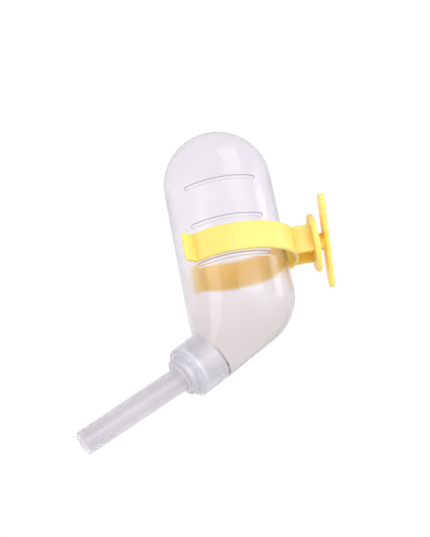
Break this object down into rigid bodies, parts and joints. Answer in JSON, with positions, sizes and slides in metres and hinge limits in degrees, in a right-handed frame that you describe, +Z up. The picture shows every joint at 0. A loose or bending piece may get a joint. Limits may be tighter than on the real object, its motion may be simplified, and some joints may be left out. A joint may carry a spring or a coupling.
{
  "type": "rabbit water bottle",
  "caption": "Clear elbow bottle with an angled ball-valve drinking spout, held by a yellow C-clip whose disc and twist bar clamp to cage wire.",
  "frame": {"origin": "centre of the clip disc's outer face, on the twist bar's shaft", "axes": "+X from the bottle to the cage wires along the shaft, +Z up along the bottle's axis, +Y completes the right hand"},
  "size_m": [0.1514, 0.066, 0.1725],
  "materials": {
    "clear_bottle": "clear, faint lilac tint, polished",
    "clear_cap": "clear, slightly hazy",
    "clear_tube": "clear, polished",
    "clear_ball": "clear, polished",
    "silicone": "milky, satin",
    "yellow_plastic": "moulded, glossy"
  },
  "bodies": {
    "holder": {"holder_clip": "yellow_plastic"},
    "twist": {"twist_bar": "yellow_plastic"},
    "bottle": {"bottle": "clear_bottle"},
    "spout": {"spout_base": "clear_cap", "spout_tube": "clear_tube", "neck_gasket": "silicone", "tube_seal": "silicone", "ball_stop": "clear_tube"},
    "cap": {"cap_collar": "clear_cap"},
    "ball": {"valve_ball": "clear_ball"}
  },
  "joints": [
    {"name": "bottle_turn", "type": "hinge", "parent": "holder", "child": "bottle", "pos_m": [-0.0481, 0, 0], "axis": [0, 0, 1], "continuous": true},
    {"name": "twist_turn", "type": "hinge", "parent": "holder", "child": "twist", "pos_m": [0, 0, 0], "axis": [1, 0, 0], "continuous": true},
    {"name": "spout_lift", "type": "slide", "parent": "bottle", "child": "spout", "axis": [-0.8384, -0.2168, -0.5], "range_m": [0, 0.00375]},
    {"name": "cap_turn", "type": "hinge", "parent": "spout", "child": "cap", "pos_m": [-0.07029, -0.00574, -0.05461], "axis": [-0.8384, -0.2168, -0.5], "range_deg": [0, 450]},
    {"name": "ball_slide", "type": "slide", "parent": "spout", "child": "ball", "axis": [0.8657, 0.2239, 0.4478], "range_m": [0, 0.06]}
  ],
  "couplings": [
    {"joint": "spout_lift", "follows": "cap_turn", "m_per_rad": 0.00047746}
  ]
}
